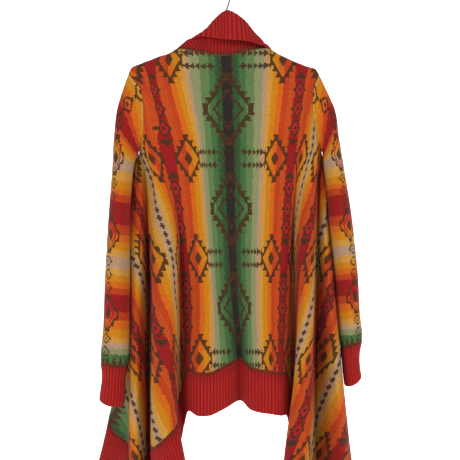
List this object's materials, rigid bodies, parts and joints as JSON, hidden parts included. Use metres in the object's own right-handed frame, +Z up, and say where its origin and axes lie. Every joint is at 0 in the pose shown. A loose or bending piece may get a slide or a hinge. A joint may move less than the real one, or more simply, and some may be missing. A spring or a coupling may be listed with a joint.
{
  "type": "knit wrap cardigan on a hanger",
  "caption": "Open knit wrap with long sleeves, draped ribbed fronts and a folded ribbed shawl collar, hung on a wooden hanger with a wire hook.",
  "frame": {"origin": "under the crown of the hanger's hook, where a rail carries it", "axes": "+Z up, the back of the garment faces -Y, +X is to the right of someone who looks at the back"},
  "size_m": [0.5758, 0.2541, 1.2648],
  "materials": {
    "knit": "soft",
    "ribbing": "soft",
    "wood": "satin",
    "metal": "satin"
  },
  "bodies": {
    "root": {"back": "knit", "front_left": "knit", "front_right": "knit", "sleeve_left": "knit", "sleeve_right": "knit", "hem_back": "ribbing", "band_left": "ribbing", "band_right": "ribbing", "collar": "ribbing", "cuff_left": "ribbing", "cuff_right": "ribbing", "hanger_arms": "wood", "hanger_hook": "metal"}
  },
  "joints": []
}
